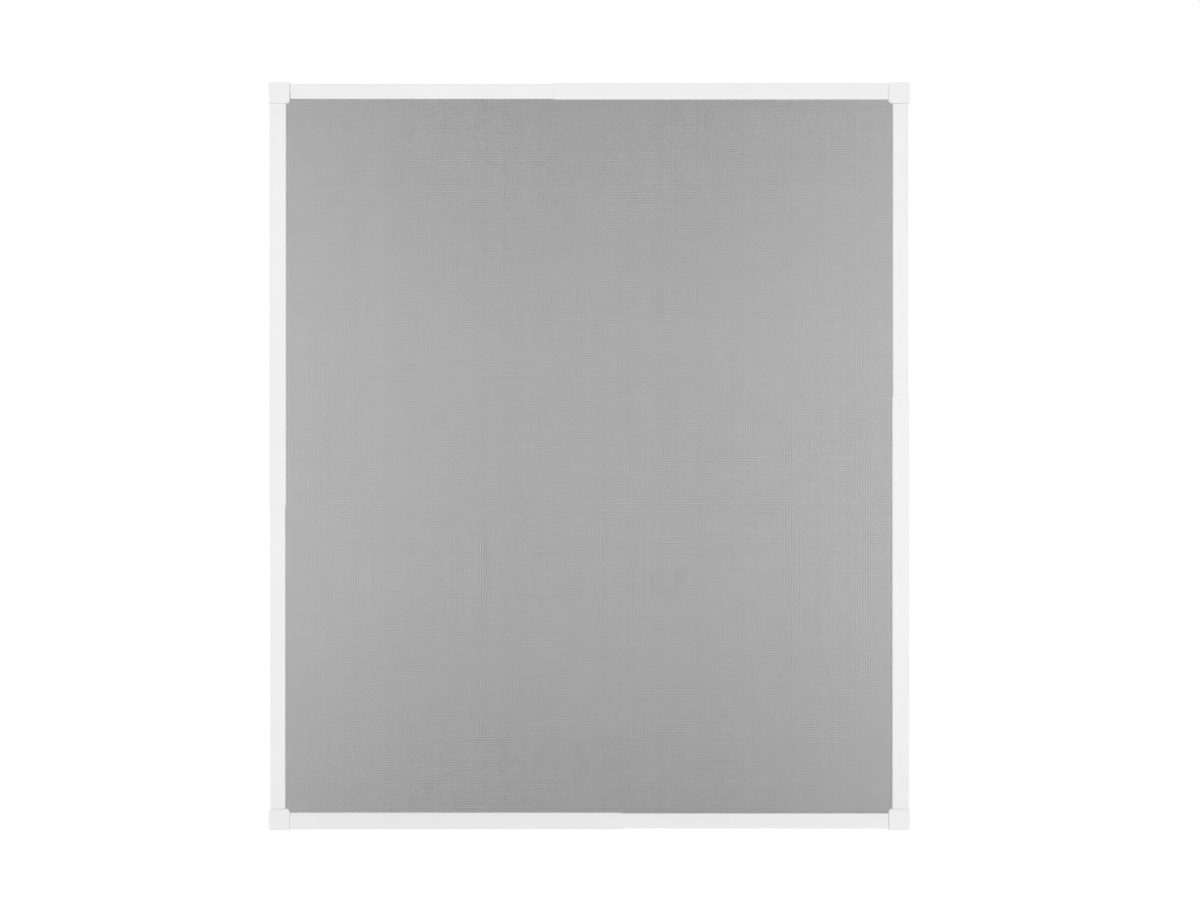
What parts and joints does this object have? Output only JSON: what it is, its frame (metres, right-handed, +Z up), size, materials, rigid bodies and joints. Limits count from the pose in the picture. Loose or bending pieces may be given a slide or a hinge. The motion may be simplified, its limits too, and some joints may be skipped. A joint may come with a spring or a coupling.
{
  "type": "window screen frame",
  "caption": "Upright telescopic window screen: nested white rails with square corner blocks and a stretched grey insect mesh clamped by spline cords at the back.",
  "frame": {"origin": "centre of the screen: middle of its width, height and depth", "axes": "+Z up the window, +X to the right seen from the room side, +Y out towards the window"},
  "size_m": [1.2, 0.0124, 1.4],
  "materials": {
    "rail_coating": "matte",
    "corner_moulding": "satin",
    "spline_cord": "matte",
    "screen_mesh": "satin"
  },
  "bodies": {
    "root": {"corner_bottom_left": "corner_moulding", "corner_top_left": "corner_moulding", "corner_top_right": "corner_moulding", "corner_bottom_right": "corner_moulding", "outer_rail_bottom": "rail_coating", "inner_rail_bottom": "rail_coating", "outer_spline_bottom": "spline_cord", "inner_spline_bottom": "spline_cord", "outer_rail_left": "rail_coating", "inner_rail_left": "rail_coating", "outer_spline_left": "spline_cord", "inner_spline_left": "spline_cord", "outer_rail_top": "rail_coating", "inner_rail_top": "rail_coating", "outer_spline_top": "spline_cord", "inner_spline_top": "spline_cord", "outer_rail_right": "rail_coating", "inner_rail_right": "rail_coating", "outer_spline_right": "spline_cord", "inner_spline_right": "spline_cord", "insect_mesh": "screen_mesh"}
  },
  "joints": []
}
